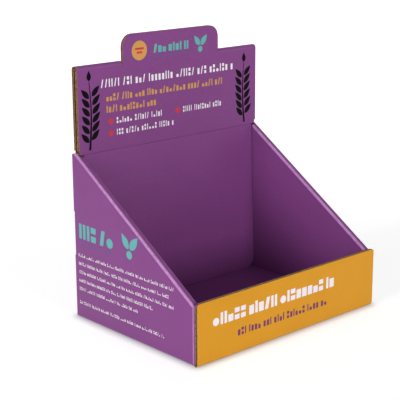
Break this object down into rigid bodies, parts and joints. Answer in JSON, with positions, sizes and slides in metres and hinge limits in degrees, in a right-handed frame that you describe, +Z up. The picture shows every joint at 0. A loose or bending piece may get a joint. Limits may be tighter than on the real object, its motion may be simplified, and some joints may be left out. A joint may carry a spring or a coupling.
{
  "type": "counter display box",
  "caption": "Folded corrugated counter tray with sloped double side walls, low front lip, tall folded header with a stand-up tab, and an inside back liner.",
  "frame": {"origin": "centre of the bounding box on its underside, the plane that the base rests on", "axes": "+Z up, -Y towards the low front lip, +X to the right of someone who faces the lip"},
  "size_m": [0.24, 0.18, 0.275],
  "materials": {
    "printed_board": "satin"
  },
  "bodies": {
    "root": {"folded_box": "printed_board"}
  },
  "joints": []
}
